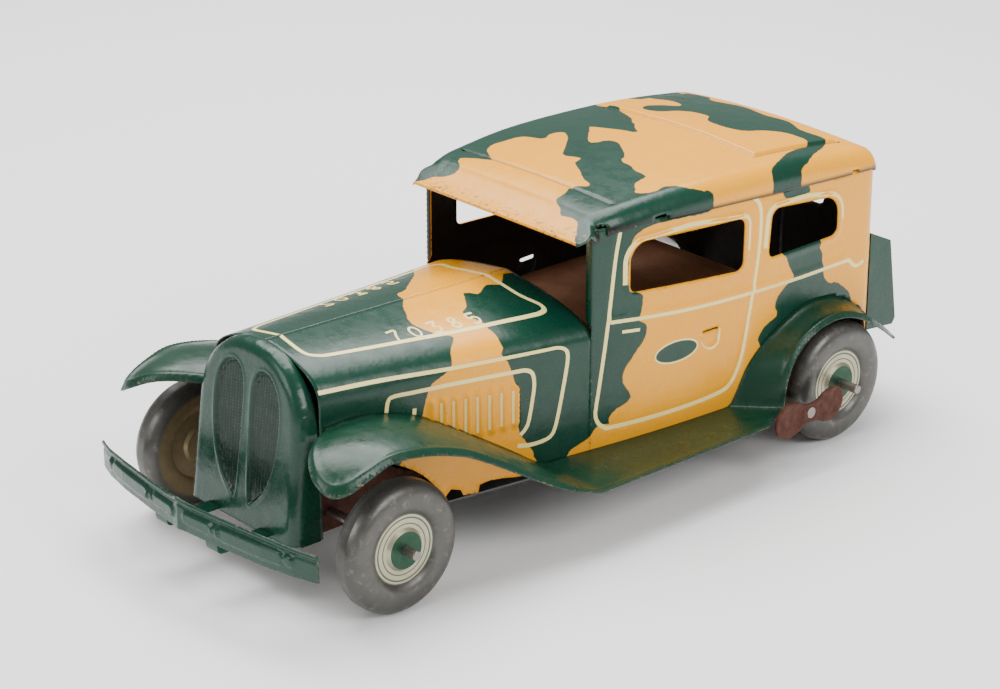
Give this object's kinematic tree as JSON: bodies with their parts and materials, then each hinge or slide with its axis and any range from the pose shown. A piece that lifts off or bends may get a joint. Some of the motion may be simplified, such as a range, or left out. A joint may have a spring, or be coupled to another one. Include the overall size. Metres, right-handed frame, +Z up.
{
  "type": "clockwork toy car",
  "caption": "Tinplate clockwork saloon car with a long bonnet, flowing wings, running boards, an open windscreen and a winding key on one side.",
  "frame": {"origin": "on the ground, midway between the two axles and on the car's middle plane", "axes": "+Z up, -Y forward (the bonnet), +X the car's left side, where the key is"},
  "size_m": [0.1112, 0.2363, 0.0907],
  "materials": {
    "camouflage_tin": "gloss lithographed ochre with dark green patches and thin cream lines",
    "green_tin": "gloss dark green enamel, worn through at the edges",
    "bare_tin": "dull unpainted tinplate, lightly rusted",
    "rusty_tin": "matt brown rust over sheet metal",
    "steel": "dull drawn steel",
    "spring_steel": "blued spring steel",
    "gear_brass": "dull stamped brass",
    "grey_tin": "grey printed tyre with a cream ring and a green hub, worn"
  },
  "bodies": {
    "body": {"body_left": "camouflage_tin", "body_right": "camouflage_tin", "roof": "camouflage_tin", "radiator": "green_tin", "front_bumper": "green_tin", "wing_left": "green_tin", "wing_right": "green_tin", "rear_trunk": "green_tin", "base_plate": "bare_tin", "inner_floor": "rusty_tin", "front_axle_bracket": "bare_tin", "motor_plate_left": "bare_tin", "motor_plate_right": "bare_tin", "motor_pillars": "steel", "mainspring": "spring_steel"},
    "front_wheels": {"front_axle": "steel", "wheel_front_left_outer": "grey_tin", "wheel_front_left_inner": "grey_tin", "wheel_front_right_outer": "grey_tin", "wheel_front_right_inner": "grey_tin"},
    "rear_wheels": {"rear_axle": "steel", "axle_pinion": "gear_brass", "wheel_rear_left_outer": "grey_tin", "wheel_rear_left_inner": "grey_tin", "wheel_rear_right_outer": "grey_tin", "wheel_rear_right_inner": "grey_tin"},
    "second_gear": {"second_arbor": "steel", "second_pinion": "gear_brass", "second_wheel": "gear_brass"},
    "great_gear": {"great_wheel": "gear_brass", "click_stud": "steel", "click_spring": "spring_steel"},
    "click": {"click": "steel"},
    "key": {"winding_arbor": "steel", "ratchet_wheel": "steel", "winding_key": "rusty_tin"}
  },
  "joints": [
    {"name": "front_axle_spin", "type": "hinge", "parent": "body", "child": "front_wheels", "pos_m": [0, -0.0813, 0.018], "axis": [1, 0, 0], "continuous": true},
    {"name": "rear_axle_spin", "type": "hinge", "parent": "body", "child": "rear_wheels", "pos_m": [0, 0.0813, 0.018], "axis": [1, 0, 0], "continuous": true},
    {"name": "second_spin", "type": "hinge", "parent": "body", "child": "second_gear", "pos_m": [0, 0.071, 0.02635], "axis": [1, 0, 0], "continuous": true},
    {"name": "great_spin", "type": "hinge", "parent": "body", "child": "great_gear", "pos_m": [0, 0.0605, 0.0173], "axis": [1, 0, 0], "continuous": true},
    {"name": "key_wind", "type": "hinge", "parent": "great_gear", "child": "key", "pos_m": [0, 0.0605, 0.0173], "axis": [1, 0, 0], "continuous": true},
    {"name": "click_lift", "type": "hinge", "parent": "great_gear", "child": "click", "pos_m": [0, 0.06793, 0.02076], "axis": [1, 0, 0], "range_deg": [-6, 0], "stiffness_Nm_per_rad": 0.0002, "springref_deg": 5.73}
  ],
  "couplings": [
    {"joint": "second_spin", "follows": "rear_axle_spin", "ratio": -0.29412},
    {"joint": "great_spin", "follows": "rear_axle_spin", "ratio": 0.081699}
  ]
}
